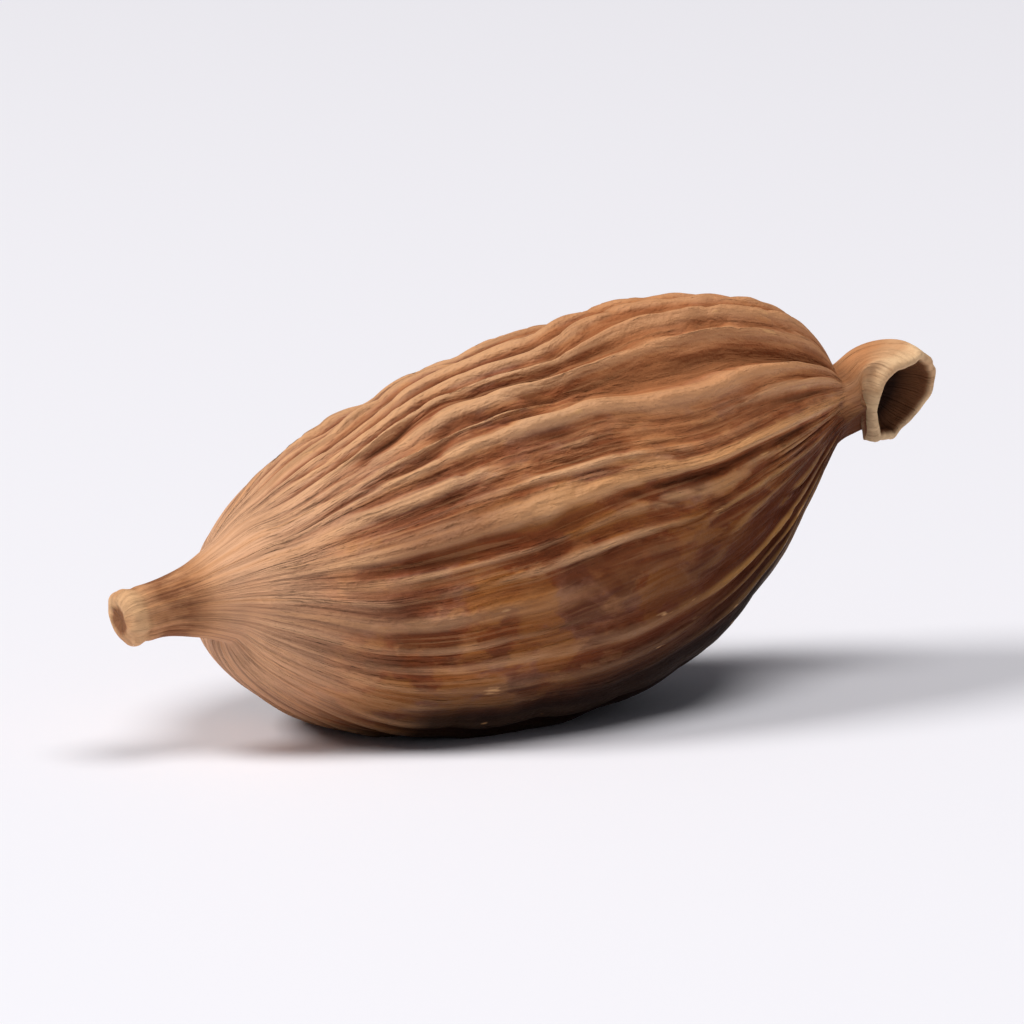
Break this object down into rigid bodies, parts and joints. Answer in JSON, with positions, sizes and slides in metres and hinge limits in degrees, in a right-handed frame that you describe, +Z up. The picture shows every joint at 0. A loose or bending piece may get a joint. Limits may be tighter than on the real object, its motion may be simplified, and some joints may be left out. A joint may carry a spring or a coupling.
{
  "type": "black cardamom pod",
  "caption": "Whole dried black cardamom pod lying on its side: a plump ribbed husk in three lobes, with a stalk stub at one end and a shrivelled calyx at the other.",
  "frame": {"origin": "on the surface that the pod lies on, under the middle of its box", "axes": "+X from the stalk stub to the calyx, +Z up"},
  "size_m": [0.0324, 0.013, 0.014],
  "materials": {
    "husk": "dry fibrous husk, matt to satin, brown with paler ribs"
  },
  "bodies": {
    "root": {"cardamom_pod": "husk"}
  },
  "joints": []
}
